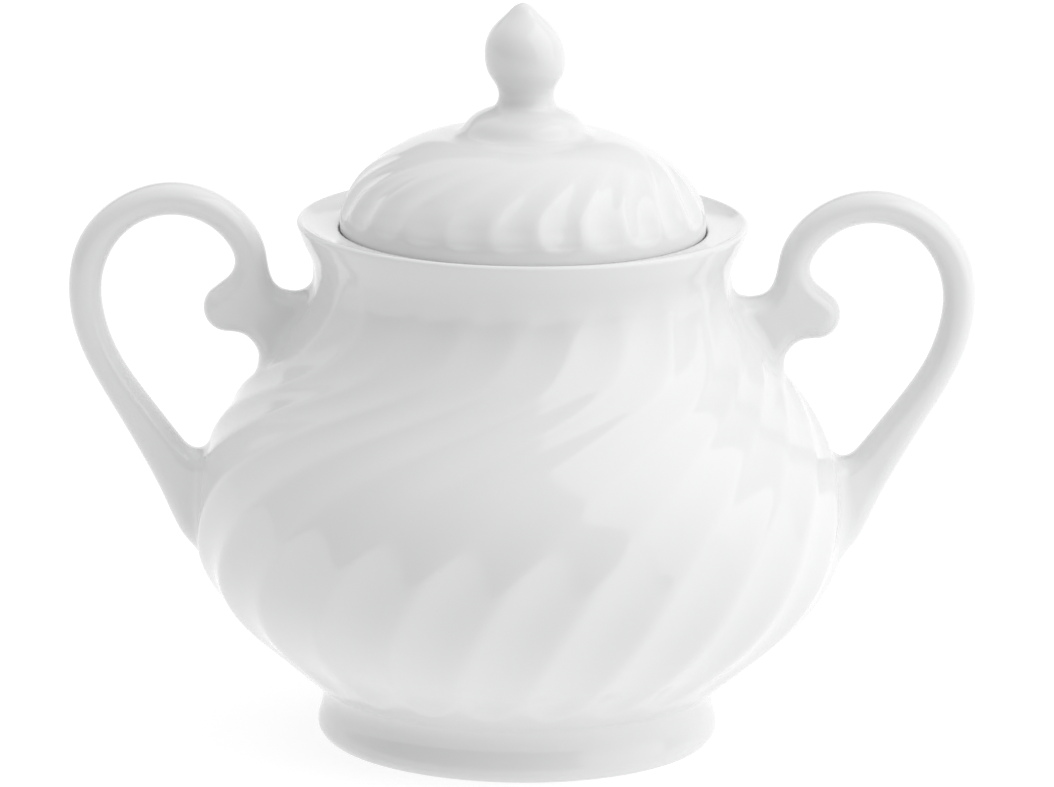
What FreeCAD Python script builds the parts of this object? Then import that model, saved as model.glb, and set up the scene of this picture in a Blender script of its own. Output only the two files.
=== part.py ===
import FreeCAD, Part
import math
import os

# Lidded sugar bowl in glazed porcelain with swirling flutes, two scroll handles and a bud knob.
# Millimetres. The origin is the centre of the foot's resting plane, +Z is up, and the two
# handles reach along +X and -X. Turns about Z are measured from -Y towards +X.

os.makedirs("parts", exist_ok=True)
Vector = FreeCAD.Vector

# ---------------------------------------------------------------- driving dimensions
WALL = 3.0                  # thickness of the thrown wall
FLUTES = 24                 # scoops round the bowl, and the same number round the lid
POLES_PER_FLUTE = 8         # control points across one scoop

FOOT_HEIGHT = 8.0           # resting plane up to the joint with the bowl
FOOT_RADIUS = 32.4          # widest part of the foot
FOOT_JOINT_RADIUS = 31.5    # waist between foot and bowl
FOOT_RIM_WIDTH = 3.0        # flat ring that the bowl stands on

BELLY_RADIUS = 52.8
BELLY_HEIGHT = 37.0
NECK_RADIUS = 33.7
NECK_HEIGHT = 76.0
LIP_RADIUS = 36.3
LIP_HEIGHT = 85.5
LIP_THICKNESS = 2.4

LEDGE_HEIGHT = 82.6         # shelf inside the mouth that carries the lid
LEDGE_THICKNESS = 3.0
LEDGE_OUTER_RADIUS = 31.0
MOUTH_RADIUS = 26.6         # clear opening inside the shelf
FLOOR_HEIGHT = FOOT_HEIGHT + WALL + 0.5
FLOOR_RADIUS = 20.0

SCOOP_DEPTH = 0.9           # depth of the bowl's scoops below their ridges
SCOOP_LOW = 8.6             # heights between which the bowl's scoops run
SCOOP_HIGH = 79.5
SCOOP_END = 5.0             # length over which each scoop runs out
BOWL_RIDGE_TURN = -1.2      # turn of one ridge at the foot, degrees
BOWL_OUTSIDE_STEPS = 64     # rows of control points up the outside

SEAT_GAP = 0.15             # air between shelf and lid
LID_RADIUS = 29.4
LID_SEAT = LEDGE_HEIGHT + SEAT_GAP
LID_TOP = 98.8
LID_WALL = 2.8
LID_CROWN_RADIUS = 8.8      # flat on top of the lid where the knob is stuck on
LID_SCOOP_DEPTH = 0.55
LID_SCOOP_LOW = 85.8        # height where the lid's scoops start, above a plain edge band
LID_SCOOP_END = 3.0
LID_SCOOP_INNER_RADIUS = 15.5
LID_SCOOP_FADE = 6.0        # radial length over which they fade into the crown
LID_RIDGE_TURN = 2.0
LID_OUTSIDE_STEPS = 34

FLANGE_RADIUS = 25.9        # locating ring under the lid
FLANGE_WALL = 2.3
FLANGE_DEPTH = 6.5
STICK_DEPTH = 0.4           # how far one piece is bedded into the next with slip

KNOB_TOP = 120.9
KNOB_RADIUS = 6.55
KNOB_STEM_RADIUS = 4.7
COLLAR_RADIUS = 8.5

HANDLE_WIDTH = 6.6          # front to back
HANDLE_ROUNDING = 1.8
ARCH_X = 56.3               # centre of the handle's round arch
ARCH_Z = 74.0
ARCH_OUTER = 16.2
ARCH_INNER = 10.8
CURL_X = 47.3               # centre of the round bud that ends the scroll
CURL_Z = 69.9
CURL_RADIUS = 3.9
HANDLE_BED = 1.9            # how far below the ridges the handle's root is bedded


# ---------------------------------------------------------------- curves and outlines
def at(radius, height):
    """A point of a profile in the XZ plane."""
    return Vector(radius, 0, height)


def spline(points, start=None, end=None):
    """A smooth edge through points, with optional directions at its two ends."""
    curve = Part.BSplineCurve()
    if start is None:
        curve.interpolate(points)
    else:
        curve.interpolate(Points=points, InitialTangent=start, FinalTangent=end)
    return curve.toShape()


def line(a, b):
    return Part.LineSegment(a, b).toShape()


def arc(a, middle, b):
    return Part.Arc(a, middle, b).toShape()


def graph(pairs):
    """A smooth function through (input, value) pairs, held level outside them."""
    inputs = [float(pair[0]) for pair in pairs]
    points = [Vector(pair[1], 0, 0) for pair in pairs]
    curve = Part.BSplineCurve()
    curve.interpolate(Points=points, Parameters=inputs)

    def value(x):
        return curve.value(min(max(x, inputs[0]), inputs[-1])).x

    return value


def ramp(x):
    """0 below 0, 1 above 1, and smooth between."""
    t = min(max(x, 0.0), 1.0)
    return t * t * (3 - 2 * t)


def rows_along(stretches):
    """Points along a chain of (edge, number of steps), each edge's end left to the next one."""
    rows = []
    for edge, steps in stretches:
        points = edge.discretize(steps + 1)
        rows += points[:-1]
    rows.append(points[-1])
    return rows


def offset_inwards(points, distance):
    """Profile points moved square to the profile, towards the axis side."""
    moved = []
    for before, here, after in zip(points, points[1:], points[2:]):
        along = after - before
        along.normalize()
        moved.append(at(here.x - along.z * distance, here.z + along.x * distance))
    return moved


# ---------------------------------------------------------------- solids
def hollow(phase):
    """Share of a scoop's depth, from 0 on one rounded ridge to 1 in the middle and back to 0."""
    return math.sin(math.pi * phase) ** 2


def skin_solid(rows, outside, scoop, turn):
    """A closed solid whose skin runs once round the axis along a profile.

    Every profile row is a ring of control points. On the first rows, as many as outside says,
    scoop(row, phase) is the depth cut into the ring at a phase from 0 at one ridge to 1 at the
    next, and turn(row) is the ring's turn in degrees. The other rows are plain. The first and
    last rings are flat circles, closed with discs.
    """
    around = FLUTES * POLES_PER_FLUTE
    # a cubic skin lies a little inside its control ring, so the ring is drawn larger
    ring_gain = 3 / (2 + math.cos(2 * math.pi / around))
    scoop_gain = 3 / (2 + math.cos(2 * math.pi / POLES_PER_FLUTE))
    turns = [turn(row) for row in rows[:outside]]
    turns += [turns[-1]] * (len(rows) - outside)
    poles = []
    for i in range(around):
        phase = (i % POLES_PER_FLUTE) / POLES_PER_FLUTE
        cuts = [scoop(row, phase) * scoop_gain for row in rows[:outside]]
        cuts += [0.0] * (len(rows) - outside)
        column = []
        for row, cut, row_turn in zip(rows, cuts, turns):
            radius = row.x * ring_gain - cut
            angle = math.radians(360 * i / around + row_turn)
            column.append(Vector(radius * math.sin(angle), -radius * math.cos(angle), row.z))
        poles.append(column)
    spans = len(rows) - 3
    surface = Part.BSplineSurface()
    surface.buildFromPolesMultsKnots(
        poles,
        [1] * (around + 1),
        [4] + [1] * (spans - 1) + [4],
        [float(k) for k in range(around + 1)],
        [float(k) for k in range(spans + 1)],
        True,
        False,
        3,
        3,
    )
    skin = surface.toShape()
    discs = [Part.Face(Part.Wire([edge])) for edge in skin.Edges if is_level_ring(edge)]
    return closed_solid([skin] + discs)


def is_level_ring(edge):
    box = edge.BoundBox
    return edge.isClosed() and box.ZLength < 1e-6


def closed_solid(faces):
    shell = Part.Shell(faces)
    shell.sewShape()
    solid = Part.Solid(shell)
    if solid.Volume < 0:
        solid.reverse()
    return solid


def turned(edges):
    """A solid of revolution from profile edges that close on themselves or on the axis."""
    face = Part.Face(Part.Wire(edges))
    solid = face.revolve(Vector(0, 0, 0), Vector(0, 0, 1), 360)
    return closed_solid(solid.Faces)


def mirrored(shape):
    return shape.mirror(Vector(0, 0, 0), Vector(1, 0, 0))


def export(node, shape):
    if not shape.isValid():
        raise RuntimeError(node + " is not a valid solid")
    shape.exportStep("parts/" + node + ".step")
    print(node, "volume cm3", round(shape.Volume / 1000, 2))


# ---------------------------------------------------------------- bowl
def bowl_outer_profile():
    """The line of the ridges, from the foot joint up to the start of the lip."""
    return spline(
        [
            at(FOOT_JOINT_RADIUS, FOOT_HEIGHT),
            at(33.8, 9.6),
            at(40.2, 15.0),
            at(44.6, 19.0),
            at(50.5, 27.0),
            at(BELLY_RADIUS, BELLY_HEIGHT),
            at(50.4, 48.0),
            at(42.5, 60.0),
            at(35.7, 69.8),
            at(NECK_RADIUS, NECK_HEIGHT),
            at(NECK_RADIUS + 0.3, NECK_HEIGHT + 2.6),
            at(LIP_RADIUS - 1.1, LIP_HEIGHT - 4.4),
            at(LIP_RADIUS, LIP_HEIGHT - LIP_THICKNESS / 2),
        ]
    )


def bowl_rows(outer):
    """The bowl's whole profile: outside, over the lip, across the shelf, and down the inside."""
    lip_out = outer.valueAt(outer.LastParameter)
    lip_in = at(LIP_RADIUS - LIP_THICKNESS, LIP_HEIGHT - LIP_THICKNESS / 2)
    lip_top = at(LIP_RADIUS - LIP_THICKNESS / 2, LIP_HEIGHT)
    ledge_out = at(LEDGE_OUTER_RADIUS, LEDGE_HEIGHT)
    rounding = LEDGE_THICKNESS / 2
    ledge_top = at(MOUTH_RADIUS + rounding, LEDGE_HEIGHT)
    ledge_nose = at(MOUTH_RADIUS, LEDGE_HEIGHT - rounding)
    ledge_under = at(MOUTH_RADIUS + rounding, LEDGE_HEIGHT - LEDGE_THICKNESS)
    samples = outer.discretize(90)
    inner = [p for p in offset_inwards(samples, WALL) if FLOOR_HEIGHT + 2.0 < p.z < NECK_HEIGHT]
    inner.reverse()
    inner_edge = spline(inner[::8] + [inner[-1]])
    inner_top = inner[0]
    inner_bottom = inner[-1]
    floor_edge = at(FLOOR_RADIUS, FLOOR_HEIGHT)
    return rows_along(
        [
            (outer, BOWL_OUTSIDE_STEPS),
            (arc(lip_out, lip_top, lip_in), 6),
            (spline([lip_in, at(32.6, 83.2), ledge_out], Vector(-0.6, 0, -1), Vector(-1, 0, 0)), 6),
            (line(ledge_out, ledge_top), 4),
            (arc(ledge_top, ledge_nose, ledge_under), 6),
            (spline([ledge_under, inner_top], Vector(1, 0, 0), Vector(0.2, 0, -1)), 5),
            (inner_edge, 44),
            (spline([inner_bottom, floor_edge], Vector(-1, 0, -0.9), Vector(-1, 0, 0)), 8),
        ]
    )


def make_bowl_body(outer):
    # turn of a ridge in degrees against its height: slow over the belly, fast over the shoulder
    turn_at = graph([(8, 0), (22, 5.3), (38, 15.0), (50, 27.5), (62, 56.5), (70, 71.5), (78, 75.5)])

    def scoop(row, phase):
        run_in = ramp((row.z - SCOOP_LOW) / SCOOP_END)
        run_out = ramp((SCOOP_HIGH - row.z) / SCOOP_END)
        return SCOOP_DEPTH * max(0.0, hollow(phase) - 1 + min(run_in, run_out))

    def turn(row):
        return BOWL_RIDGE_TURN + turn_at(row.z)

    return skin_solid(bowl_rows(outer), BOWL_OUTSIDE_STEPS, scoop, turn)


def make_foot_ring():
    """A flared ring under the bowl, round the recess in the base."""
    inner_radius = FOOT_RADIUS - FOOT_RIM_WIDTH - 1.0
    outside = spline(
        [
            at(FOOT_RADIUS - 0.9, 0),
            at(FOOT_RADIUS, 1.8),
            at(FOOT_RADIUS - 0.6, 4.6),
            at(FOOT_JOINT_RADIUS, FOOT_HEIGHT),
        ]
    )
    bottom_in = at(inner_radius, 0)
    top_in = at(inner_radius - 1.6, FOOT_HEIGHT)
    return turned(
        [
            outside,
            line(at(FOOT_JOINT_RADIUS, FOOT_HEIGHT), top_in),
            line(top_in, bottom_in),
            line(bottom_in, at(FOOT_RADIUS - 0.9, 0)),
        ]
    )


# ---------------------------------------------------------------- handles
def handle_outline():
    """The right handle seen from the front: arch, straight leg, inner upright and curled bud."""
    crown = math.sqrt(0.5)
    low_out = at(47.0, 26.5)
    low_in = at(47.0, 44.0)
    neck = at(30.0, 74.5)
    root = at(37.0, 56.0)
    outer = spline(
        [
            low_out,
            at(53.3, 31.2),
            at(56.6, 36.2),
            at(65.1, 53.3),
            at(70.6, 63.2),
            at(ARCH_X + ARCH_OUTER + 0.4, 72.0),
            at(ARCH_X + crown * ARCH_OUTER, ARCH_Z + crown * ARCH_OUTER),
            at(ARCH_X, ARCH_Z + ARCH_OUTER),
            at(ARCH_X - crown * ARCH_OUTER, ARCH_Z + crown * ARCH_OUTER),
            at(ARCH_X - ARCH_OUTER, ARCH_Z + 1.3),
            at(37.4, 72.4),
            neck,
        ]
    )
    under_curl = spline(
        [root, at(41.8, 60.2), at(42.4, 62.6), at(44.4, 65.4), at(CURL_X, CURL_Z - CURL_RADIUS)],
        Vector(0.9, 0, 1),
        Vector(1, 0, 0),
    )
    curl_end = at(CURL_X + crown * CURL_RADIUS, CURL_Z + crown * CURL_RADIUS)
    curl = arc(at(CURL_X, CURL_Z - CURL_RADIUS), at(CURL_X + CURL_RADIUS, CURL_Z), curl_end)
    inner = spline(
        [
            curl_end,
            at(48.7, 73.4),
            at(46.7, 75.2),
            at(ARCH_X - ARCH_INNER + 0.2, 77.3),
            at(ARCH_X - crown * ARCH_INNER, ARCH_Z + crown * ARCH_INNER),
            at(ARCH_X, ARCH_Z + ARCH_INNER),
            at(ARCH_X + crown * ARCH_INNER, ARCH_Z + crown * ARCH_INNER),
            at(ARCH_X + ARCH_INNER + 0.3, 72.0),
            at(65.8, 65.4),
            at(56.6, 50.9),
            at(53.2, 46.8),
            low_in,
        ]
    )
    return Part.Wire([outer, line(neck, root), under_curl, curl, inner, line(low_in, low_out)])


def make_right_handle(bed):
    """The outline as a bar with rounded long edges, trimmed to lie just inside the bowl's wall."""
    half = HANDLE_WIDTH / 2
    face = Part.Face(handle_outline())
    face.translate(Vector(0, -half, 0))
    bar = face.extrude(Vector(0, HANDLE_WIDTH, 0))
    long_edges = [e for e in bar.Edges if e.BoundBox.YLength < 1e-6 and not is_hidden(e)]
    bar = bar.makeFillet(HANDLE_ROUNDING, long_edges)
    return bar.cut(bed).Solids[0]


def is_hidden(edge):
    """True for the straight edges that lie inside the bowl's wall."""
    box = edge.BoundBox
    return box.XMax < 48.5 and box.XLength < 8.0 and box.ZMax < 75.0 and box.ZLength > 14.0


def wall_core(outer):
    """The space inside the bowl's wall, up to the depth where the handle roots are bedded."""
    samples = offset_inwards(outer.discretize(60), HANDLE_BED)
    low = samples[0]
    high = samples[-1]
    edges = [
        spline(samples[::5] + [high]),
        line(high, at(0, high.z)),
        line(at(0, high.z), at(0, low.z)),
        line(at(0, low.z), low),
    ]
    return turned(edges)


# ---------------------------------------------------------------- lid
def lid_rows():
    """The lid's profile: crown, dome, rounded edge, flat seat, then the hollow underneath."""
    crown = at(LID_CROWN_RADIUS, LID_TOP)
    widest = at(LID_RADIUS, 85.2)
    dome = spline(
        [crown, at(15.0, 98.3), at(20.0, 96.4), at(24.5, 93.4), at(28.1, 89.2), widest],
        Vector(1, 0, 0),
        Vector(0, 0, -1),
    )
    seat_out = at(LID_RADIUS - 1.4, LID_SEAT)
    edge = arc(widest, at(LID_RADIUS - 0.5, LID_SEAT + 0.75), seat_out)
    seat_in = at(FLANGE_RADIUS - FLANGE_WALL - 0.2, LID_SEAT)
    ceiling = at(LID_CROWN_RADIUS - 1.0, LID_TOP - LID_WALL)
    hollow = spline(
        [seat_in, at(22.3, 90.6), at(18.6, 93.7), at(14.0, 95.5), ceiling],
        Vector(0, 0, 1),
        Vector(-1, 0, 0),
    )
    seat = line(seat_out, seat_in)
    return rows_along([(dome, LID_OUTSIDE_STEPS), (edge, 6), (seat, 6), (hollow, 20)])


def make_lid_dome():
    # turn of a ridge in degrees against its radius: it trails round as it climbs to the crown
    turn_at = graph([(17, 37.0), (20, 26.0), (24.5, 12.5), (28, 4.0), (LID_RADIUS, 0)])

    def scoop(row, phase):
        from_crown = ramp((row.x - LID_SCOOP_INNER_RADIUS) / LID_SCOOP_FADE)
        from_edge = ramp((row.z - LID_SCOOP_LOW) / LID_SCOOP_END)
        return LID_SCOOP_DEPTH * max(0.0, hollow(phase) - 1 + min(from_crown, from_edge))

    def turn(row):
        return LID_RIDGE_TURN + turn_at(row.x)

    return skin_solid(lid_rows(), LID_OUTSIDE_STEPS, scoop, turn)


def make_lid_flange():
    """The ring that drops inside the shelf and keeps the lid centred."""
    top = LID_SEAT + STICK_DEPTH
    bottom = LID_SEAT - FLANGE_DEPTH
    inner_radius = FLANGE_RADIUS - FLANGE_WALL
    middle = FLANGE_RADIUS - FLANGE_WALL / 2
    shoulder = FLANGE_WALL / 2
    return turned(
        [
            line(at(inner_radius, top), at(FLANGE_RADIUS, top)),
            line(at(FLANGE_RADIUS, top), at(FLANGE_RADIUS, bottom + shoulder)),
            arc(at(FLANGE_RADIUS, bottom + shoulder), at(middle, bottom), at(inner_radius, bottom + shoulder)),
            line(at(inner_radius, bottom + shoulder), at(inner_radius, top)),
        ]
    )


def make_lid_knob():
    """A stepped collar, a short stem and a pointed bud."""
    base = LID_TOP
    profile = spline(
        [
            at(LID_CROWN_RADIUS, base),
            at(COLLAR_RADIUS - 0.2, base + 1.6),
            at(COLLAR_RADIUS - 0.2, base + 3.2),
            at(7.0, base + 4.5),
            at(KNOB_STEM_RADIUS + 0.1, base + 5.9),
            at(KNOB_STEM_RADIUS, base + 7.6),
            at(6.1, base + 10.2),
            at(KNOB_RADIUS, base + 12.9),
            at(5.6, base + 16.3),
            at(3.2, base + 19.3),
            at(1.3, base + 21.3),
            at(0, KNOB_TOP),
        ]
    )
    return turned([profile, line(at(0, KNOB_TOP), at(0, base)), line(at(0, base), at(LID_CROWN_RADIUS, base))])


def main():
    outer = bowl_outer_profile()
    right_handle = make_right_handle(wall_core(outer))
    export("bowl_body", make_bowl_body(outer))
    export("foot_ring", make_foot_ring())
    export("right_handle", right_handle)
    export("left_handle", mirrored(right_handle))
    export("lid_dome", make_lid_dome())
    export("lid_locating_ring", make_lid_flange())
    export("lid_knob", make_lid_knob())


main()
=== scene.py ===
import math

import bpy
import numpy as np
from mathutils import Matrix, Vector


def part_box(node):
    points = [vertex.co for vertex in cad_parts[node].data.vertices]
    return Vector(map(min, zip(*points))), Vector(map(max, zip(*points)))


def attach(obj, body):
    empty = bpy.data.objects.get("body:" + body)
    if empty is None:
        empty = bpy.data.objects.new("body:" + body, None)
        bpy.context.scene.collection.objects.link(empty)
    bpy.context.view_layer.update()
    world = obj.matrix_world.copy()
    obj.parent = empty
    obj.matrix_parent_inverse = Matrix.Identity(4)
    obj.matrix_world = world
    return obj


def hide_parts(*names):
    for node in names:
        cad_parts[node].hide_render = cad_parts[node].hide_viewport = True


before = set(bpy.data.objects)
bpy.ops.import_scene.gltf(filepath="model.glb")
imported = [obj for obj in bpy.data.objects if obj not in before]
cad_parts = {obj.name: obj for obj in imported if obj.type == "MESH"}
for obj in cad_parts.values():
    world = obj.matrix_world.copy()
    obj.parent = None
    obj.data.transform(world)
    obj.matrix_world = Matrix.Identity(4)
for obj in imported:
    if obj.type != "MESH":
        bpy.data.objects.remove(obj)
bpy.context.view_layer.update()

# The glazed porcelain skin of a lidded sugar bowl. Shapes are drawn in design millimetres, in the
# frame's own axes, and one design millimetre (UNIT) is a share of the frame's height, so that
# everything follows the CAD model. Turns about Z are measured from -Y towards +X.

_, bowl_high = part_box("bowl_body")
foot_low, foot_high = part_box("foot_ring")
dome_low, dome_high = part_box("lid_dome")
ring_low, ring_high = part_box("lid_locating_ring")
_, knob_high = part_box("lid_knob")
_, handle_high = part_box("right_handle")

DESIGN_HEIGHT = 120.9
UNIT = (knob_high.z - foot_low.z) / DESIGN_HEIGHT


def design(length):
    """A length of the frame in design millimetres."""
    return length / UNIT


FLUTES = 24
FLUTE_TURN = 360 / FLUTES
BOX_MARGIN = 0.02           # the widest ridges stay this far inside the CAD model's box
BELLY = design(bowl_high.x) - BOX_MARGIN
FOOT_TOP = design(foot_high.z)
LIP_DROP = 0.6              # the lip lies this far below the CAD model's
LIP_TOP = design(bowl_high.z) - LIP_DROP
LIP_SHARE = 0.6885          # the lip's radius as a share of the belly's
LIP_RADIUS = LIP_SHARE * BELLY
LIP_ROUNDING = 0.65
WALL = 3.0
INSIDE_LOW = 13.6           # the inside runs along the outside between these two heights
INSIDE_HIGH = 76.0
BOWL_FLOOR = 11.5
SHELF_TOP = 82.6
SHELF_NOSE = 1.5            # radius of the shelf's rounded inner edge
LID_RADIUS = design(dome_high.x)
LID_SEAT = design(dome_low.z)
LID_TOP = design(dome_high.z)
KNOB_TOP = design(knob_high.z)


# ------------------------------------------------------------------ curves
def smooth_path(points, count):
    """count points evenly spaced along a natural cubic spline through the given 2D points."""
    p = np.array(points, float)
    t = np.concatenate([[0], np.cumsum(np.linalg.norm(np.diff(p, axis=0), axis=1))])
    h = np.diff(t)
    n = len(p)
    a = np.eye(n)
    b = np.zeros_like(p)
    for i in range(1, n - 1):
        a[i, i - 1] = h[i - 1]
        a[i, i] = 2 * (h[i - 1] + h[i])
        a[i, i + 1] = h[i]
        b[i] = 6 * ((p[i + 1] - p[i]) / h[i] - (p[i] - p[i - 1]) / h[i - 1])
    bend = np.linalg.solve(a, b)
    fine = np.linspace(0, t[-1], max(40 * n, 4 * count))
    k = np.clip(np.searchsorted(t, fine, side="right") - 1, 0, n - 2)
    u = (fine - t[k])[:, None]
    w = (t[k + 1] - fine)[:, None]
    hk = h[k][:, None]
    curve = (bend[k] * w**3 + bend[k + 1] * u**3) / (6 * hk)
    curve += (p[k] / hk - bend[k] * hk / 6) * w + (p[k + 1] / hk - bend[k + 1] * hk / 6) * u
    return respaced(curve, count)


def respaced(path, count):
    """The same path with count evenly spaced points."""
    path = np.asarray(path, float)
    run = np.concatenate([[0], np.cumsum(np.linalg.norm(np.diff(path, axis=0), axis=1))])
    where = np.linspace(0, run[-1], count)
    return np.column_stack([np.interp(where, run, path[:, axis]) for axis in range(2)])


def arc_path(centre, radius, start, end, count):
    """Points on a circular arc, from one angle to another in degrees."""
    angles = np.radians(np.linspace(start, end, count))
    return np.column_stack([centre[0] + radius * np.cos(angles), centre[1] + radius * np.sin(angles)])


def joined(*paths):
    """Paths end to end, leaving out points that repeat."""
    rows = [np.asarray(paths[0], float)]
    for path in paths[1:]:
        path = np.asarray(path, float)
        same = np.linalg.norm(path[0] - rows[-1][-1]) < 1e-4
        rows.append(path[1:] if same else path)
    return np.vstack(rows)


def offset_path(path, distance):
    """A path moved square to itself, to the left of its direction."""
    along = np.gradient(path, axis=0)
    along /= np.linalg.norm(along, axis=1)[:, None]
    return path + distance * np.column_stack([-along[:, 1], along[:, 0]])


def ramp(x):
    """0 below 0, 1 above 1, and smooth between."""
    t = np.clip(x, 0.0, 1.0)
    return t * t * (3 - 2 * t)


def soft_positive(x, softness):
    """max(x, 0) with a rounded corner."""
    return 0.5 * (x + np.sqrt(x * x + softness * softness))


# ------------------------------------------------------------------ meshes
def mesh_piece(name, points, faces, marks):
    """A smooth-shaded mesh object. marks are named numbers, one for each point."""
    mesh = bpy.data.meshes.new(name)
    mesh.from_pydata((np.asarray(points) * UNIT).tolist(), [], faces)
    for mark, values in marks.items():
        layer = mesh.attributes.new(mark, "FLOAT", "POINT")
        layer.data.foreach_set("value", np.asarray(values, np.float32))
    mesh.shade_smooth()
    mesh.validate()
    piece = bpy.data.objects.new(name, mesh)
    bpy.context.scene.collection.objects.link(piece)
    return piece


def turned_points(radii, heights, turns):
    """Points on rings: radii is rows by columns, heights and turns are one for each row."""
    rows, columns = radii.shape
    angles = np.radians(np.arange(columns) * 360 / columns + np.asarray(turns)[:, None])
    x = radii * np.sin(angles)
    y = -radii * np.cos(angles)
    z = np.repeat(np.asarray(heights)[:, None], columns, axis=1)
    return np.stack([x, y, z], axis=2).reshape(-1, 3)


def ring_faces(rows, columns, closed):
    """Quads between rings, facing outwards when the rows run upwards on the outside."""
    faces = []
    for r in range(rows if closed else rows - 1):
        low = r * columns
        high = (r + 1) % rows * columns
        for c in range(columns):
            d = (c + 1) % columns
            faces.append((low + c, low + d, high + d, high + c))
    return faces


def capped(points, faces, rows, columns, first_height, last_height):
    """Closes the first and last rings with a fan to a point on the axis."""
    bottom = len(points)
    points = np.vstack([points, [[0, 0, first_height], [0, 0, last_height]]])
    last = (rows - 1) * columns
    for c in range(columns):
        d = (c + 1) % columns
        faces.append((bottom, d, c))
        faces.append((bottom + 1, last + c, last + d))
    return points, faces


# ------------------------------------------------------------------ flutes
RIDGE_ROUNDING = 0.16
SCOOP_CLOSING = 1.02        # at a scoop's very end its section is cut off at this level, above its middle
SCOOP_SOFTNESS = 0.10       # rounding of the rim where the section is cut off
SCOOP_FADE = 0.25           # power by which a scoop also gets shallow at its end


def scoop_section(phase):
    """0 on a ridge and 1 in the middle of a scoop, with the ridge slightly rounded."""
    bow = np.sqrt(np.sin(np.pi * phase) ** 2 + RIDGE_ROUNDING**2) - RIDGE_ROUNDING
    return bow / (math.sqrt(1 + RIDGE_ROUNDING**2) - RIDGE_ROUNDING)


def scoop_share(phase, run):
    """Depth of a scoop across its width. run goes from 0 at its pointed end to 1 at its full width."""
    return soft_positive(scoop_section(phase) - SCOOP_CLOSING + run, SCOOP_SOFTNESS) * run**SCOOP_FADE


# ------------------------------------------------------------------ bowl
BOWL_SCOOP_DEPTH = 0.87
BOWL_SHOULDER_SHARE = 0.5   # how deep the scoops still are on the shoulder
BOWL_BOLD_TOP = 31.0        # above this height they get shallower
BOWL_SOFTENING = 17.0       # until this much higher
BOWL_SCOOP_LOW = 9.4
BOWL_SCOOP_HIGH = 80.6
BOWL_SCOOP_START = 7.0      # length of the narrowing lower end
BOWL_SCOOP_END = 9.0        # length of the narrowing upper end
BOWL_RIDGE_TURN = -0.8
BOWL_COLUMNS = FLUTES * 16


def bowl_outside(count):
    """The line of the ridges from the foot joint up to the start of the lip."""
    shares = [
        (0.5985, 8.0),
        (0.6400, 9.6),
        (0.6930, 12.0),
        (0.7600, 15.0),
        (0.8490, 19.0),
        (0.9305, 24.0),
        (0.9862, 30.0),
        (1.0000, 37.0),
        (0.9545, 48.0),
        (0.8049, 60.0),
        (0.6762, 69.8),
        (0.6390, 75.4),
        (0.6435, 78.4),
        (0.6660, 81.1),
        (LIP_SHARE, LIP_TOP - LIP_ROUNDING),
    ]
    return smooth_path([(share * BELLY, height) for share, height in shares], count)


outside = bowl_outside(1200)


def bowl_turn(height):
    """Turn of a ridge in degrees: slow over the belly, fast over the shoulder."""
    swirl = [(8, 0), (22, 5.3), (38, 15.0), (50, 28.3), (62, 57.5), (70, 72.5), (78, 76.5)]
    path = smooth_path(swirl, 400)
    return BOWL_RIDGE_TURN + np.interp(height, path[:, 0], path[:, 1])


def bowl_scoop(height, phase):
    """Depth of the bowl's scoops below the ridges: bold round the belly, soft on the shoulder."""
    bold = 1 - (1 - BOWL_SHOULDER_SHARE) * ramp((height - BOWL_BOLD_TOP) / BOWL_SOFTENING)
    run = np.minimum(
        ramp((height - BOWL_SCOOP_LOW) / BOWL_SCOOP_START),
        ramp((BOWL_SCOOP_HIGH - height) / BOWL_SCOOP_END),
    )
    return BOWL_SCOOP_DEPTH * bold * scoop_share(phase, run)


def make_bowl():
    """One closed skin: underside, fluted outside, lip, shelf, inside and floor."""
    wall = respaced(outside, 170)
    lip_centre = (LIP_RADIUS - LIP_ROUNDING, LIP_TOP - LIP_ROUNDING)
    lip = arc_path(lip_centre, LIP_ROUNDING, 0, 125, 11)
    inner = offset_path(outside, WALL)
    inner = inner[(inner[:, 1] > INSIDE_LOW) & (inner[:, 1] < INSIDE_HIGH)][::-1]
    funnel = smooth_path(
        [
            lip[-1],
            (34.3, 84.2),
            (32.9, 83.85),
            (31.4, 83.65),
            (30.2, 83.58),
            (29.6, 83.35),
            (29.48, 82.8),
            (28.4, SHELF_TOP),
        ],
        24,
    )
    nose = arc_path((28.1, SHELF_TOP - SHELF_NOSE), SHELF_NOSE, 90, 270, 13)
    under = smooth_path([nose[-1], (29.3, 79.3), (30.3, 78.2), inner[0]], 9)
    level = [(20.0, BOWL_FLOOR), (2.0, BOWL_FLOOR)]
    floor = smooth_path([inner[-1], (32.0, 12.6), (27.0, 11.7), *level], 24)
    base = smooth_path([(2.0, FOOT_TOP), (29.0, FOOT_TOP)], 8)
    path = joined(base, wall, lip, funnel, nose, under, respaced(inner, 90), floor)
    heights = path[:, 1]
    first = len(base)
    last = first + len(wall)
    phase = np.tile(np.arange(BOWL_COLUMNS) * FLUTES / BOWL_COLUMNS % 1.0, (len(path), 1))
    depth = bowl_scoop(heights[:, None], phase)
    depth[:first] = 0
    depth[last:] = 0
    turns = bowl_turn(np.minimum(heights, heights[last - 1]))
    turns[:first] = turns[first]
    turns[last:] = turns[last - 1]
    radii = path[:, 0][:, None] - depth
    points = turned_points(radii, heights, turns)
    faces = ring_faces(len(path), BOWL_COLUMNS, False)
    pool = (depth / BOWL_SCOOP_DEPTH).ravel()
    points, faces = capped(points, faces, len(path), BOWL_COLUMNS, FOOT_TOP, BOWL_FLOOR)
    pool = np.concatenate([pool, [0, 0]])
    return mesh_piece("bowl_glazed", points, faces, {"glaze_pool": pool, "bare": np.zeros(len(points))})


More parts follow.
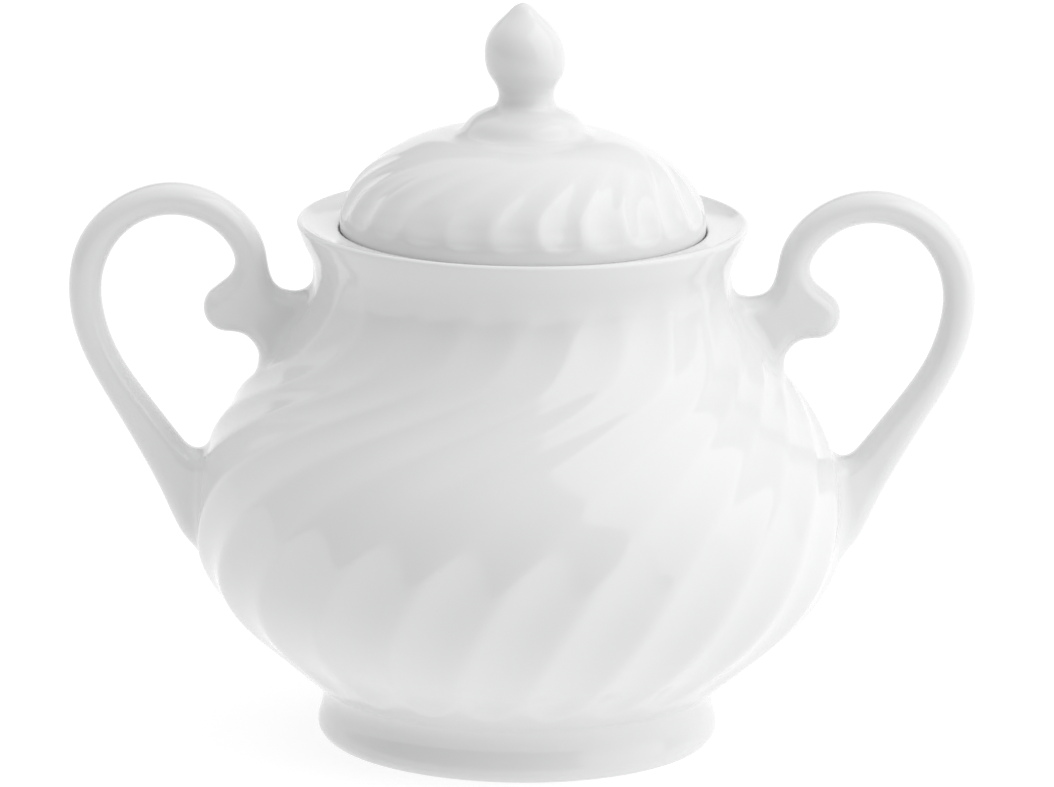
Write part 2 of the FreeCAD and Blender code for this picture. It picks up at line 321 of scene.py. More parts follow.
PLAIN_COLUMNS = 256         # points round the pieces that have no flutes
HIDDEN = 0.04               # how far an edge that runs out onto another piece lies under it
FOOT_REACH = 10.3           # height on the bowl that the foot's fillet runs out to
FOOT_FILLET = 9.5           # height on the bowl where it begins to leave it
RIM_OUTER = 31.1            # radii of the flat ring that the bowl stands on
RIM_INNER = 28.9
RECESS = 25.2               # radius of the recessed base inside the foot's fillet


def make_foot():
    """The flared ring, with a fillet that runs out onto the bowl and a bare ring to stand on."""
    reach = outside[np.searchsorted(outside[:, 1], FOOT_REACH)]
    start = outside[np.searchsorted(outside[:, 1], FOOT_FILLET)]
    fillet = smooth_path(
        [
            (reach[0] - HIDDEN, reach[1]),
            (start[0], start[1]),
            (32.72, 8.78),
            (32.08, 7.78),
            (31.72, 6.6),
            (31.68, 5.5),
            (31.98, 3.9),
            (32.38, 2.2),
            (32.33, 1.2),
            (31.95, 0.5),
        ],
        46,
    )
    edge = smooth_path([fillet[-1], (31.6, 0.15), (RIM_OUTER, 0.0)], 5)
    rim = smooth_path([(RIM_OUTER, 0.0), (RIM_INNER, 0.0)], 5)
    inside_edge = smooth_path([rim[-1], (28.4, 0.15), (28.1, 0.6), (27.6, 3.5), (27.1, 7.0)], 12)
    inside_fillet = smooth_path([inside_edge[-1], (26.5, 7.75), (RECESS, FOOT_TOP + HIDDEN)], 8)
    closing = smooth_path([inside_fillet[-1], (25.6, FOOT_TOP + 0.8), (33.0, FOOT_TOP + 2.1)], 8)
    path = joined(fillet, edge, rim, inside_edge, inside_fillet, closing)[::-1]
    radii = np.tile(path[:, 0][:, None], (1, PLAIN_COLUMNS))
    points = turned_points(radii, path[:, 1], np.zeros(len(path)))
    faces = ring_faces(len(path), PLAIN_COLUMNS, True)
    bare_height = 0.12
    bare_radius = 28.3
    bare = (points[:, 2] < bare_height) & (np.hypot(points[:, 0], points[:, 1]) > bare_radius)
    marks = {"glaze_pool": np.zeros(len(points)), "bare": bare.astype(float)}
    return mesh_piece("foot_glazed", points, faces, marks)


# ------------------------------------------------------------------ lid
LID_SCOOP_DEPTH = 0.78
LID_SCOOP_INNER = 16.5      # radius where the scoops begin on the crown
LID_SCOOP_GROWTH = 12.0     # they deepen over this distance outwards
LID_SCOOP_LOW = 84.6        # height of their lower ends, above the plain edge band
LID_SCOOP_START = 2.4       # length of the narrowing lower end
LID_SHALLOW_TOP = 85.2      # at this height and below they are half as deep
LID_SHALLOW_FADE = 3.6      # and this much higher they have their full depth
LID_RIDGE_TURN = 4.2
LID_COLUMNS = FLUTES * 14
LID_EDGE_ROUNDING = 0.85
LID_HOLLOW_TOP = 96.0
SEAT_INNER = 23.6           # inner radius of the flat seat


def dome_outside(count):
    """The lid's ridges from the middle of the crown out to the widest part of the edge."""
    return smooth_path(
        [
            (1.0, LID_TOP),
            (8.8, LID_TOP),
            (15.0, LID_TOP - 0.45),
            (20.0, LID_TOP - 2.4),
            (24.5, LID_TOP - 5.45),
            (27.9, LID_TOP - 9.3),
            (0.989 * LID_RADIUS, LID_TOP - 11.8),
            (LID_RADIUS, LID_TOP - 15.3),
        ],
        count,
    )


def lid_turn(radius):
    """Turn of a lid ridge in degrees: it trails round as it climbs to the crown."""
    swirl = [(15, 40.0), (18, 27.5), (21, 16.8), (24, 8.3), (26, 3.7), (27.4, 1.2), (29.4, 0)]
    path = smooth_path(swirl, 300)
    return LID_RIDGE_TURN + np.interp(radius, path[:, 0], path[:, 1])


def make_lid():
    """One closed skin: fluted dome, plain edge band, flat seat and the hollow underneath."""
    dome = dome_outside(130)
    edge = arc_path((LID_RADIUS - LID_EDGE_ROUNDING, dome[-1, 1]), LID_EDGE_ROUNDING, 0, -90, 10)
    edge = joined(edge, smooth_path([edge[-1], (27.6, LID_SEAT + 0.05), (27.0, LID_SEAT)], 6))
    seat = smooth_path([edge[-1], (SEAT_INNER, LID_SEAT)], 6)
    hollow = smooth_path(
        [
            (SEAT_INNER - 0.2, LID_SEAT + 0.3),
            (23.3, 86.6),
            (22.3, 90.6),
            (18.6, 93.7),
            (14.0, 95.5),
            (7.8, LID_HOLLOW_TOP),
            (1.0, LID_HOLLOW_TOP),
        ],
        60,
    )
    path = joined(dome[:-1], edge, seat, hollow)[::-1]
    outer = slice(len(path) - len(dome) + 1, len(path))
    heights = path[:, 1]
    phase = np.tile(np.arange(LID_COLUMNS) * FLUTES / LID_COLUMNS % 1.0, (len(path), 1))
    fade = ramp((path[:, 0] - LID_SCOOP_INNER) / LID_SCOOP_GROWTH)
    fade *= 0.5 + 0.5 * ramp((heights - LID_SHALLOW_TOP) / LID_SHALLOW_FADE)
    run = np.minimum(fade**0.5, ramp((heights - LID_SCOOP_LOW) / LID_SCOOP_START))[:, None]
    depth = LID_SCOOP_DEPTH * fade[:, None] * scoop_share(phase, run)
    inner = np.ones(len(path), bool)
    inner[outer] = False
    depth[inner] = 0
    turns = lid_turn(path[:, 0])
    turns[inner] = LID_RIDGE_TURN
    points = turned_points(path[:, 0][:, None] - depth, heights, turns)
    faces = ring_faces(len(path), LID_COLUMNS, False)
    points, faces = capped(points, faces, len(path), LID_COLUMNS, LID_HOLLOW_TOP, LID_TOP)
    pool = np.concatenate([(depth / LID_SCOOP_DEPTH).ravel(), [0, 0]])
    on_seat = (points[:, 2] < LID_SEAT + 0.25) & (np.hypot(points[:, 0], points[:, 1]) > SEAT_INNER - 0.6)
    return mesh_piece("lid_glazed", points, faces, {"glaze_pool": pool, "bare": on_seat.astype(float)})


KNOB_COLUMNS = 144
KNOB_SHIFT = 0.3            # the knob stands this far to the right of the crown's middle
KNOB_LEAN = -0.7            # and its tip leans back to the left
COLLAR_LOW = 0.5            # the shift starts this far above the crown
COLLAR_HEIGHT = 3.0         # and is complete this much higher
STEM_LOW = 5.0              # the lean starts this far above the crown
KNOB_DROP = 0.83            # the tip ends this far below the CAD model's


def make_knob():
    """Flare on the crown, rounded collar, stem and pointed bud, whose tip leans a little."""
    dome = dome_outside(400)
    brim = [13.6, 12.9, 12.2]
    crown = np.interp(brim, dome[:, 0], dome[:, 1])
    base = LID_TOP - 1.6
    profile = smooth_path(
        [
            (brim[0], crown[0] - HIDDEN),
            (brim[1], crown[1]),
            (brim[2], crown[2] + HIDDEN),
            (11.2, LID_TOP + 0.16),
            (10.3, LID_TOP + 0.62),
            (9.7, LID_TOP + 1.3),
            (9.15, LID_TOP + 2.1),
            (8.4, LID_TOP + 2.87),
            (7.4, LID_TOP + 3.47),
            (6.2, LID_TOP + 3.98),
            (5.25, LID_TOP + 4.45),
            (4.7, LID_TOP + 5.15),
            (4.47, LID_TOP + 6.05),
            (4.52, LID_TOP + 7.05),
            (5.05, LID_TOP + 8.35),
            (5.85, LID_TOP + 9.65),
            (6.35, LID_TOP + 11.25),
            (6.45, LID_TOP + 12.95),
            (6.1, LID_TOP + 15.05),
            (5.15, LID_TOP + 16.95),
            (3.9, LID_TOP + 18.35),
            (2.4, LID_TOP + 19.75),
            (1.15, KNOB_TOP - 1.25),
            (0.2, KNOB_TOP - 0.85),
        ],
        160,
    )
    foot = smooth_path([(1.0, base), (11.0, base), profile[0]], 10)
    path = joined(foot, profile)
    radii = np.tile(path[:, 0][:, None], (1, KNOB_COLUMNS))
    points = turned_points(radii, path[:, 1], np.zeros(len(path)))
    faces = ring_faces(len(path), KNOB_COLUMNS, False)
    points, faces = capped(points, faces, len(path), KNOB_COLUMNS, base, KNOB_TOP - KNOB_DROP)
    above_crown = points[:, 2] - LID_TOP
    points[:, 0] += KNOB_SHIFT * ramp((above_crown - COLLAR_LOW) / COLLAR_HEIGHT)
    points[:, 0] += KNOB_LEAN * ramp((above_crown - STEM_LOW) / (KNOB_TOP - LID_TOP - STEM_LOW))
    blank = np.zeros(len(points))
    return mesh_piece("knob_glazed", points, faces, {"glaze_pool": blank, "bare": blank})


def make_locating_ring():
    """The ring under the lid, left unglazed so that lid and bowl don't fuse in the kiln."""
    outer = design(ring_high.x)
    thickness = 2.3
    inner = outer - thickness
    low = design(ring_low.z)
    top = LID_SEAT + 0.3
    rounding = 0.9
    sides = [
        smooth_path([(inner, top), (inner, low + rounding)], 10),
        arc_path((inner + rounding, low + rounding), rounding, 180, 270, 7),
        arc_path((outer - rounding, low + rounding), rounding, 270, 360, 7),
        smooth_path([(outer, low + rounding), (outer, top)], 10),
    ]
    path = joined(*sides)
    radii = np.tile(path[:, 0][:, None], (1, PLAIN_COLUMNS))
    points = turned_points(radii, path[:, 1], np.zeros(len(path)))
    faces = ring_faces(len(path), PLAIN_COLUMNS, True)
    return mesh_piece("locating_ring_biscuit", points, faces, {})


# ------------------------------------------------------------------ handles
ARCH_OUTER = 16.2           # radii of the arch, which lies round ARCH_X, ARCH_Z
ARCH_INNER = 10.8
ARCH_X = design(handle_high.x) - ARCH_OUTER - 0.4
ARCH_Z = design(handle_high.z) - ARCH_OUTER
CURL_X = ARCH_X - 9.0       # middle of the curled bud
CURL_Z = ARCH_Z - 4.1
CURL_RADIUS = 3.9
HANDLE_HALF_WIDTH = 3.3
HANDLE_ROUND = 2.5          # how far in from its outline the handle reaches its full width
HANDLE_POWER = 2.1          # 2 would make its section elliptical, more makes it squarer
ROOT_BLEND = 2.4            # size of the fillet where the handle runs into the bowl
ROOT_FLARE = 0.9            # the handle's half width grows by this much towards the bowl
ROOT_FLARE_REACH = 6.0      # over this distance
SKIRT_REACH = 1.3           # the skirt inside the wall reaches this many fillets to the side
SKIRT_DEPTH = 1.0           # and this far into the wall
ROOT_POOL = 0.7             # glaze pools this much at the root
ROOT_POOL_REACH = 2.5       # and this far up the handle
OUTLINE_STEP = 0.2          # spacing of the grid that holds the depth inside the outline
NET_STEP = 0.45             # size of the cells that the handle's mesh is drawn from
LEAST_SLOPE = 0.05          # keeps a point from being thrown far where the field is flat


def handle_outline():
    """The right handle seen from the front: arch, straight leg, inner upright and curled bud."""
    diagonal = math.sqrt(0.5)
    leg_outside = smooth_path(
        [
            (44.0, 25.0),
            (51.6, 29.6),
            (54.2, 32.0),
            (55.9, 34.9),
            (58.1, 39.7),
            (61.0, 45.2),
            (65.1, 52.3),
            (69.3, 59.6),
            (71.7, 65.3),
            (ARCH_X + ARCH_OUTER + 0.35, 72.3),
            (ARCH_X + 0.93 * ARCH_OUTER, ARCH_Z + 0.40 * ARCH_OUTER),
            (ARCH_X + diagonal * ARCH_OUTER, ARCH_Z + diagonal * ARCH_OUTER),
            (ARCH_X, ARCH_Z + ARCH_OUTER),
            (ARCH_X - 0.50 * ARCH_OUTER, ARCH_Z + 0.865 * ARCH_OUTER),
            (ARCH_X - 0.80 * ARCH_OUTER, ARCH_Z + 0.60 * ARCH_OUTER),
            (ARCH_X - 0.925 * ARCH_OUTER, ARCH_Z + 0.34 * ARCH_OUTER),
            (ARCH_X - 0.955 * ARCH_OUTER, ARCH_Z + 0.17 * ARCH_OUTER),
            (40.35, 75.0),
            (39.5, 73.6),
            (38.2, 72.85),
            (36.4, 72.6),
            (30.0, 72.6),
        ],
        320,
    )
    under = smooth_path(
        [
            (36.0, 56.2),
            (40.8, 58.3),
            (42.0, 60.4),
            (42.3, 62.4),
            (43.2, 64.2),
            (44.9, 65.6),
            (CURL_X, CURL_Z - CURL_RADIUS),
        ],
        60,
    )
    curl = arc_path((CURL_X, CURL_Z), CURL_RADIUS, -90, 42, 30)
    leg_inside = smooth_path(
        [
            curl[-1],
            (48.6, 73.8),
            (46.95, 75.3),
            (46.2, 77.4),
            (47.0, 79.9),
            (ARCH_X - 0.67 * ARCH_INNER, ARCH_Z + 0.77 * ARCH_INNER),
            (ARCH_X - 0.36 * ARCH_INNER, ARCH_Z + 0.955 * ARCH_INNER),
            (ARCH_X, ARCH_Z + 1.015 * ARCH_INNER),
            (ARCH_X + 0.38 * ARCH_INNER, ARCH_Z + 0.94 * ARCH_INNER),
            (ARCH_X + diagonal * ARCH_INNER, ARCH_Z + 0.72 * ARCH_INNER),
            (ARCH_X + 0.92 * ARCH_INNER, ARCH_Z + 0.42 * ARCH_INNER),
            (ARCH_X + 1.045 * ARCH_INNER, ARCH_Z - 0.05 * ARCH_INNER),
            (67.15, 68.5),
            (65.4, 63.3),
            (61.6, 57.1),
            (57.8, 52.1),
            (54.8, 48.2),
            (53.4, 46.8),
            (51.8, 46.2),
            (44.0, 46.0),
        ],
        260,
    )
    return joined(leg_outside, under, curl, leg_inside)


def outline_depth(points, outline):
    """How far 2D points lie inside a closed outline, negative outside it."""
    depth = np.empty(len(points))
    along = np.roll(outline, -1, axis=0) - outline
    size = np.maximum((along * along).sum(1), 1e-12)
    rise = np.where(along[:, 1] == 0, 1e-12, along[:, 1])
    for start in range(0, len(points), 2000):
        part = points[start : start + 2000]
        gap_x = part[:, :1] - outline[:, 0]
        gap_z = part[:, 1:] - outline[:, 1]
        share = np.clip((gap_x * along[:, 0] + gap_z * along[:, 1]) / size, 0, 1)
        near = (gap_x - share * along[:, 0]) ** 2 + (gap_z - share * along[:, 1]) ** 2
        crosses = (gap_z < 0) != (gap_z < along[:, 1])
        to_left = gap_x < gap_z * along[:, 0] / rise
        inside = (crosses & to_left).sum(1) % 2 == 1
        depth[start : start + 2000] = np.where(inside, 1, -1) * np.sqrt(near.min(1))
    return depth


class DepthMap:
    """The depth inside an outline, kept on a fine grid and read off between its points."""

    def __init__(self, outline, low, high, step):
        self.low = np.array(low)
        self.step = step
        self.shape = [int(math.ceil((high[i] - low[i]) / step)) + 1 for i in range(2)]
        grid = np.meshgrid(*[low[i] + step * np.arange(self.shape[i]) for i in range(2)], indexing="ij")
        spots = np.column_stack([g.ravel() for g in grid])
        self.values = outline_depth(spots, outline).reshape(self.shape)

    def at(self, points):
        """The depth at 2D points."""
        place = (points - self.low) / self.step
        cell = np.clip(place.astype(int), 0, np.array(self.shape) - 2)
        u, w = (place - cell).T
        i, j = cell.T
        near = self.values[i, j] * (1 - u) + self.values[i + 1, j] * u
        far = self.values[i, j + 1] * (1 - u) + self.values[i + 1, j + 1] * u
        return near * (1 - w) + far * w


def bowl_distance(points):
    """How far points lie outside the fluted wall of the bowl, close to it."""
    x, y, z = points.T
    radius = np.hypot(x, y)
    slope = np.gradient(outside[:, 0], outside[:, 1])
    angle = np.degrees(np.arctan2(x, -y))
    phase = (angle - bowl_turn(z)) / FLUTE_TURN % 1.0
    wall = np.interp(z, outside[:, 1], outside[:, 0]) - bowl_scoop(z, phase)
    tilt = np.interp(z, outside[:, 1], 1 / np.sqrt(1 + slope**2))
    return (radius - wall) * tilt


def make_handle_field(depth_map):
    """A field that is negative in the handle, its fillets on the bowl, and a skirt inside the wall."""

    def field(points):
        depth = depth_map.at(points[:, [0, 2]])
        side = np.maximum(HANDLE_ROUND - depth, 0) / HANDLE_ROUND
        wall = bowl_distance(points)
        half_width = HANDLE_HALF_WIDTH + ROOT_FLARE * ramp(1 - wall / ROOT_FLARE_REACH)
        front = np.abs(points[:, 1]) / half_width
        bar = HANDLE_ROUND * ((side**HANDLE_POWER + front**HANDLE_POWER) ** (1 / HANDLE_POWER) - 1)
        skin = wall + HIDDEN
        near = np.maximum(ROOT_BLEND - np.abs(bar - skin), 0) / ROOT_BLEND
        filleted = np.minimum(bar, skin) - near * near * ROOT_BLEND / 4
        skirt = np.maximum(bar - SKIRT_REACH * ROOT_BLEND, -SKIRT_DEPTH - wall)
        return np.maximum(filleted, skirt)

    return field


def surface_net(field, low, high, step):
    """A quad mesh of the surface where a field crosses zero, one point in each crossed cell."""
    axes = [np.arange(low[i], high[i] + step, step) for i in range(3)]
    shape = [len(axis) for axis in axes]
    nodes = np.stack(np.meshgrid(*axes, indexing="ij"), axis=3).reshape(-1, 3)
    values = field(nodes).reshape(shape)
    nodes = nodes.reshape(*shape, 3)
    cells = tuple(n - 1 for n in shape)
    total = np.zeros((*cells, 3))
    count = np.zeros(cells)
    for axis in range(3):
        others = [i for i in range(3) if i != axis]
        for shift_a in (0, 1):
            for shift_b in (0, 1):
                start = [slice(0, -1)] * 3
                end = [slice(0, -1)] * 3
                end[axis] = slice(1, None)
                for other, shift in zip(others, (shift_a, shift_b)):
                    piece = slice(1, None) if shift else slice(0, -1)
                    start[other] = piece
                    end[other] = piece
                f0 = values[tuple(start)]
                f1 = values[tuple(end)]
                crossed = (f0 < 0) != (f1 < 0)
                t = np.where(crossed, f0 / np.where(crossed, f0 - f1, 1.0), 0.0)[..., None]
                point = nodes[tuple(start)] * (1 - t) + nodes[tuple(end)] * t
                total += np.where(crossed[..., None], point, 0.0)
                count += crossed
    active = count > 0
    index = np.full(cells, -1)
    index[active] = np.arange(active.sum())
    points = total[active] / count[active][:, None]
    faces = []
    for axis in range(3):
        u, v = [i for i in range(3) if i != axis]
        f0 = values[tuple(slice(0, -1) if i == axis else slice(1, -1) for i in range(3))]
        f1 = values[tuple(slice(1, None) if i == axis else slice(1, -1) for i in range(3))]
        for i, j, k in np.argwhere((f0 < 0) != (f1 < 0)):
            cell = [i, j, k]
            ring = []
            for du, dv in ((0, 0), (1, 0), (1, 1), (0, 1)):
                c = list(cell)
                c[u] += du
                c[v] += dv
                ring.append(index[tuple(c)])
            outward = f0[i, j, k] < 0
            if axis == 1:
                outward = not outward
            faces.append(tuple(ring if outward else ring[::-1]))
    return points, faces


def gradient_of(field, points, step=0.02):
    """The slope of a field along each axis."""
    slopes = []
    for axis in range(3):
        move = np.zeros(3)
        move[axis] = step
        slopes.append((field(points + move) - field(points - move)) / (2 * step))
    return np.column_stack(slopes)


def settled(points, faces, field, rounds):
    """Evens the mesh out and puts every point back on the surface, several times."""
    quads = np.array(faces)
    edges = np.vstack([quads[:, [k, (k + 1) % 4]] for k in range(4)])
    for _ in range(rounds):
        total = np.zeros_like(points)
        count = np.zeros(len(points))
        for a, b in ((0, 1), (1, 0)):
            np.add.at(total, edges[:, a], points[edges[:, b]])
            np.add.at(count, edges[:, a], 1)
        points = 0.5 * points + 0.5 * total / count[:, None]
        slope = gradient_of(field, points)
        size = np.maximum((slope * slope).sum(1), LEAST_SLOPE)
        points = points - slope * (field(points) / size)[:, None]
    return points


def make_handles():
    """The right handle, and the left one as its half turn about Z, which also matches the flutes."""
    half_depth = 8.5
    margin = 2.0
    low = np.array([28.0, -half_depth, 22.0])
    high = np.array([ARCH_X + ARCH_OUTER + margin, half_depth, ARCH_Z + ARCH_OUTER + margin])
    depth_map = DepthMap(handle_outline(), low[[0, 2]] - 1, high[[0, 2]] + 1, OUTLINE_STEP)
    field = make_handle_field(depth_map)
    points, faces = surface_net(field, low, high, NET_STEP)
    points = settled(points, faces, field, 5)
    pool = ramp(1 - bowl_distance(points) / ROOT_POOL_REACH) * ROOT_POOL
    marks = {"glaze_pool": pool, "bare": np.zeros(len(points))}
    right = mesh_piece("right_handle_glazed", points, faces, marks)
    left = mesh_piece("left_handle_glazed", points * [-1, -1, 1], faces, marks)
    return right, left


# ------------------------------------------------------------------ materials
def node(tree, kind, inputs=None, **settings):
    """A shader node with its settings and its input values or links."""
    made = tree.nodes.new(kind)
    for key, value in settings.items():
        setattr(made, key, value)
    for key, value in (inputs or {}).items():
        if isinstance(value, bpy.types.NodeSocket):
            tree.links.new(value, made.inputs[key])
        else:
            made.inputs[key].default_value = value
    return made


def blank_material(name):
    """A material with nothing in it but its output."""
    material = bpy.data.materials.new(name)
    material.use_nodes = True
    tree = material.node_tree
    tree.nodes.clear()
    output = tree.nodes.new("ShaderNodeOutputMaterial")
    return material, tree, output


def colour_mix(tree, factor, first, second):
    """A colour between two others."""
    return node(tree, "ShaderNodeMix", {0: factor, 6: first, 7: second}, data_type="RGBA").outputs[2]


def remap(tree, value, given, wanted, kind="LINEAR"):
    """A value moved from one range, given as its two ends, to another."""
    inputs = {0: value, 1: given[0], 2: given[1], 3: wanted[0], 4: wanted[1]}
    return node(tree, "ShaderNodeMapRange", inputs, interpolation_type=kind).outputs[0]


def stepped(tree, value, ends):
    """0 below the first end and 1 above the second, with a soft step between."""
    return remap(tree, value, ends, (0.0, 1.0), "SMOOTHSTEP")


def level_mix(tree, share, first, second):
    """A number between two others."""
    return node(tree, "ShaderNodeMix", {0: share, 2: first, 3: second}).outputs[0]


GLAZE_WHITE = (0.770, 0.770, 0.770, 1.0)
GLAZE_COOL = (0.748, 0.750, 0.752, 1.0)
GLAZE_POOL = (0.734, 0.737, 0.740, 1.0)
BISCUIT = (0.79, 0.775, 0.745, 1.0)
BISCUIT_DARK = (0.71, 0.69, 0.65, 1.0)
SPECK = (0.70, 0.69, 0.68, 1.0)
POOL_SHARE = 0.35           # how much of the pooled colour shows in the deepest hollows


def make_glaze():
    """White porcelain glaze: slightly uneven, pooled in the hollows, bare where it stands."""
    material, tree, output = blank_material("sugar_bowl_glaze")
    place = tree.nodes.new("ShaderNodeTexCoord").outputs["Object"]
    cloud = node(tree, "ShaderNodeTexNoise", {"Vector": place, "Scale": 55.0, "Detail": 3.0})
    colour = colour_mix(tree, cloud.outputs["Fac"], GLAZE_WHITE, GLAZE_COOL)
    pool = node(tree, "ShaderNodeAttribute", attribute_name="glaze_pool").outputs["Fac"]
    pool_share = node(tree, "ShaderNodeMath", {0: pool, 1: POOL_SHARE}, operation="MULTIPLY").outputs[0]
    colour = colour_mix(tree, pool_share, colour, GLAZE_POOL)
    speck = node(tree, "ShaderNodeTexNoise", {"Vector": place, "Scale": 1400.0, "Detail": 1.0})
    few = remap(tree, speck.outputs["Fac"], (0.80, 0.86), (0.0, 0.6))
    colour = colour_mix(tree, few, colour, SPECK)
    bare = node(tree, "ShaderNodeAttribute", attribute_name="bare").outputs["Fac"]
    grain = node(tree, "ShaderNodeTexNoise", {"Vector": place, "Scale": 2600.0, "Detail": 4.0})
    biscuit = colour_mix(tree, grain.outputs["Fac"], BISCUIT, BISCUIT_DARK)
    colour = colour_mix(tree, bare, colour, biscuit)
    gloss = remap(tree, cloud.outputs["Fac"], (0.3, 0.7), (0.07, 0.11))
    roughness = level_mix(tree, bare, gloss, 0.7)
    wave = node(tree, "ShaderNodeTexNoise", {"Vector": place, "Scale": 160.0, "Detail": 2.0})
    height = wave.outputs["Fac"]
    wavy = node(tree, "ShaderNodeBump", {"Height": height, "Strength": 0.25, "Distance": 0.00012})
    grit = node(tree, "ShaderNodeMath", {0: grain.outputs["Fac"], 1: bare}, operation="MULTIPLY")
    inputs = {"Height": grit.outputs[0], "Strength": 0.5, "Distance": 0.0001, "Normal": wavy.outputs[0]}
    gritty = node(tree, "ShaderNodeBump", inputs)
    inputs = {"Base Color": colour, "Roughness": roughness, "Normal": gritty.outputs[0], "IOR": 1.5}
    shader = node(tree, "ShaderNodeBsdfPrincipled", inputs)
    tree.links.new(shader.outputs[0], output.inputs["Surface"])
    return material


def make_biscuit():
    """Unglazed porcelain: matte, faintly grainy, a little warmer than the glaze."""
    material, tree, output = blank_material("sugar_bowl_biscuit")
    place = tree.nodes.new("ShaderNodeTexCoord").outputs["Object"]
    grain = node(tree, "ShaderNodeTexNoise", {"Vector": place, "Scale": 2600.0, "Detail": 4.0})
    cloud = node(tree, "ShaderNodeTexNoise", {"Vector": place, "Scale": 90.0, "Detail": 3.0})
    colour = colour_mix(tree, cloud.outputs["Fac"], BISCUIT, BISCUIT_DARK)
    height = grain.outputs["Fac"]
    rough = remap(tree, height, (0.3, 0.7), (0.6, 0.8))
    bump = node(tree, "ShaderNodeBump", {"Height": height, "Strength": 0.5, "Distance": 0.0001})
    inputs = {"Base Color": colour, "Roughness": rough, "Normal": bump.outputs[0]}
    shader = node(tree, "ShaderNodeBsdfPrincipled", inputs)
    tree.links.new(shader.outputs[0], output.inputs["Surface"])
    return material


PAPER = (0.36, 0.36, 0.36, 1.0)
PAPER_GLOW = 0.72           # painted glow of the floor round the object and behind it, which hides the object's shadow there
PAPER_GLOW_SPAN = (-0.9, -0.08)    # towards the viewer the glow fades between these places along Y


def make_paper():
    """The pale floor, whose painted glow keeps it white and hides the object's shadow on it, except
    further towards the viewer.
    """
    material, tree, output = blank_material("floor_paper")
    diffuse = node(tree, "ShaderNodeBsdfDiffuse", {"Color": PAPER})
    place = tree.nodes.new("ShaderNodeTexCoord").outputs["Object"]
    parts = node(tree, "ShaderNodeSeparateXYZ", {0: place})
    strength = remap(tree, parts.outputs["Y"], PAPER_GLOW_SPAN, (0.0, PAPER_GLOW), "SMOOTHSTEP")
    # painted light: the floor glows although it is no lamp, which washes out its shadow and lights the
    # object from below
    glow = node(tree, "ShaderNodeEmission", {"Color": (1.0, 1.0, 1.0, 1.0), "Strength": strength})
    both = node(tree, "ShaderNodeAddShader", {0: diffuse.outputs[0], 1: glow.outputs[0]})
    tree.links.new(both.outputs[0], output.inputs["Surface"])
    return material


# ------------------------------------------------------------------ studio
def make_floor(material):
    """A large square floor, a hair under the foot."""
    half = 6.0
    level = foot_low.z - 0.00002
    mesh = bpy.data.meshes.new("floor")
    corners = [(-half, -half, level), (half, -half, level), (half, half, level), (-half, half, level)]
    mesh.from_pydata(corners, [], [(0, 1, 2, 3)])
    floor = bpy.data.objects.new("floor", mesh)
    floor.data.materials.append(material)
    bpy.context.scene.collection.objects.link(floor)


BACK_WALL = 1.06            # brightness of the white wall behind the object
CEILING = 1.11              # brightness straight overhead
FRONT_LOW = 0.10            # the viewer's side at the horizon
FRONT_HIGH = 0.98           # the viewer's side overhead
GAP_LEFT = 0.38             # the darker gap between the top of the wall and the ceiling
GAP_RIGHT = 0.72            # the same gap on the side of the softbox

# Where one brightness goes over into another, along an axis of the unit sphere of directions.
WALL_SPAN = (-0.55, 0.82)   # from the viewer's side to the wall, along Y
CEILING_SPAN = (0.60, 0.95) # from the wall and the gap to the ceiling, along Z
GAP_BEHIND = (0.67, 0.74)   # the gap lies only behind the object, along Y
GAP_ABOVE = (0.26, 0.32)    # and only above the wall, along Z
GAP_SIDES = (-0.25, 0.25)   # its left side goes over into its right one, along X


def make_world():
    """A white wall behind, a darker gap above it, a bright ceiling and a dim room in front."""
    world = bpy.data.worlds.new("studio")
    bpy.context.scene.world = world
    world.use_nodes = True
    tree = world.node_tree
    tree.nodes.clear()
    way = tree.nodes.new("ShaderNodeTexCoord").outputs["Generated"]
    parts = node(tree, "ShaderNodeSeparateXYZ", {0: way})
    back = parts.outputs["Y"]
    up = parts.outputs["Z"]
    front = level_mix(tree, up, FRONT_LOW, FRONT_HIGH)
    level = level_mix(tree, stepped(tree, back, WALL_SPAN), front, BACK_WALL)
    level = level_mix(tree, stepped(tree, up, CEILING_SPAN), level, CEILING)
    behind = stepped(tree, back, GAP_BEHIND)
    above_wall = stepped(tree, up, GAP_ABOVE)
    gap = node(tree, "ShaderNodeMath", {0: behind, 1: above_wall}, operation="MULTIPLY").outputs[0]
    to_right = stepped(tree, parts.outputs["X"], GAP_SIDES)
    level = level_mix(tree, gap, level, level_mix(tree, to_right, GAP_LEFT, GAP_RIGHT))
    light = node(tree, "ShaderNodeBackground", {"Color": (1.0, 1.0, 1.0, 1.0), "Strength": level})
    output = tree.nodes.new("ShaderNodeOutputWorld")
    tree.links.new(light.outputs[0], output.inputs["Surface"])


def aimed(location, target, roll=0.0):
    """Places an object so that its -Z looks from location to target, turned by roll degrees."""
    facing = (Vector(target) - Vector(location)).to_track_quat("-Z", "Y").to_matrix().to_4x4()
    return Matrix.Translation(location) @ facing @ Matrix.Rotation(math.radians(roll), 4, "Z")


def around(azimuth, elevation, distance, target):
    """A point seen from target at an azimuth from -Y towards +X and an elevation, in degrees."""
    a = math.radians(azimuth)
    e = math.radians(elevation)
    way = Vector((math.sin(a) * math.cos(e), -math.cos(a) * math.cos(e), math.sin(e)))
    return Vector(target) + way * distance


SOFTBOX_AZIMUTH = 65
SOFTBOX_ELEVATION = 32
SOFTBOX_DISTANCE = 1.3
SOFTBOX_WIDTH = 1.55
SOFTBOX_HEIGHT = 1.85
SOFTBOX_BRIGHTNESS = 1.16


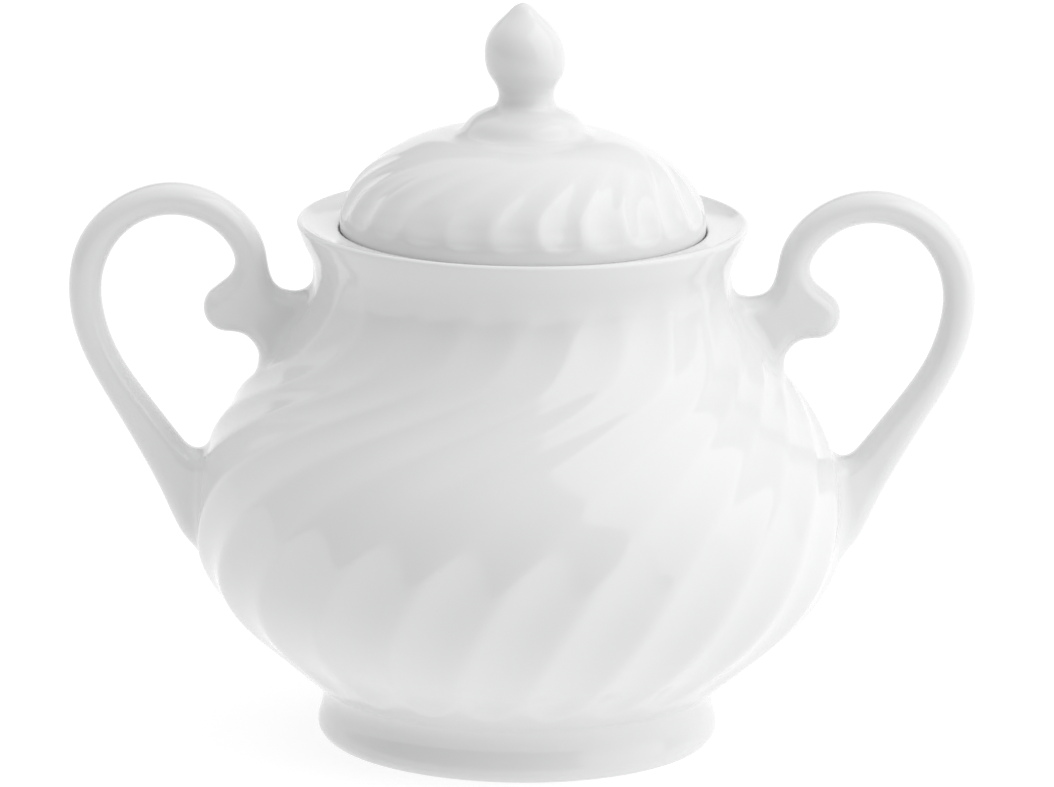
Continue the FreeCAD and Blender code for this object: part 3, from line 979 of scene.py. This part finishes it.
def make_softbox():
    """A large soft light on the right, which shows the same brightness over its whole face."""
    light = bpy.data.lights.new("right_softbox", "AREA")
    light.shape = "RECTANGLE"
    light.size = SOFTBOX_WIDTH
    light.size_y = SOFTBOX_HEIGHT
    light.energy = SOFTBOX_BRIGHTNESS * math.pi * SOFTBOX_WIDTH * SOFTBOX_HEIGHT
    target = Vector((0, 0, 0.5 * knob_high.z))
    spot = around(SOFTBOX_AZIMUTH, SOFTBOX_ELEVATION, SOFTBOX_DISTANCE, target)
    lamp = bpy.data.objects.new("right_softbox", light)
    lamp.matrix_world = aimed(spot, target)
    bpy.context.scene.collection.objects.link(lamp)


CAMERA_ELEVATION = 13.3
CAMERA_DISTANCE = 1.13
CAMERA_LENS = 239.3
CAMERA_ROLL = 0.7
CAMERA_AIM_X = 0.97         # the camera looks at a point this far to the right of the axis
CAMERA_AIM_Z = 0.4645       # and at this share of the height


def make_camera():
    """A little above the object, straight in front of it, through a long lens."""
    camera = bpy.data.cameras.new("camera")
    camera.lens = CAMERA_LENS
    camera.sensor_width = 36.0
    camera.clip_start = 0.05
    middle = Vector((CAMERA_AIM_X * UNIT, 0, CAMERA_AIM_Z * (knob_high.z - foot_low.z)))
    eye = bpy.data.objects.new("camera", camera)
    spot = around(0, CAMERA_ELEVATION, CAMERA_DISTANCE, middle)
    eye.matrix_world = aimed(spot, middle, CAMERA_ROLL)
    bpy.context.scene.collection.objects.link(eye)
    bpy.context.scene.camera = eye


def main():
    """Puts every piece on its body, in place of its CAD solid, and sets up the studio."""
    glaze = make_glaze()
    biscuit = make_biscuit()
    right, left = make_handles()
    pieces = [
        (make_bowl(), "bowl", "bowl_body", glaze, "white_glaze"),
        (make_foot(), "bowl", "foot_ring", glaze, "white_glaze"),
        (right, "bowl", "right_handle", glaze, "white_glaze"),
        (left, "bowl", "left_handle", glaze, "white_glaze"),
        (make_lid(), "lid", "lid_dome", glaze, "white_glaze"),
        (make_knob(), "lid", "lid_knob", glaze, "white_glaze"),
        (make_locating_ring(), "lid", "lid_locating_ring", biscuit, "bare_biscuit"),
    ]
    for piece, body, cad_node, material, slot in pieces:
        piece.data.materials.append(material)
        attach(piece, body)
        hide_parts(cad_node)
    make_floor(make_paper())
    make_world()
    make_softbox()
    make_camera()
    bpy.context.scene.view_settings.view_transform = "Standard"


main()
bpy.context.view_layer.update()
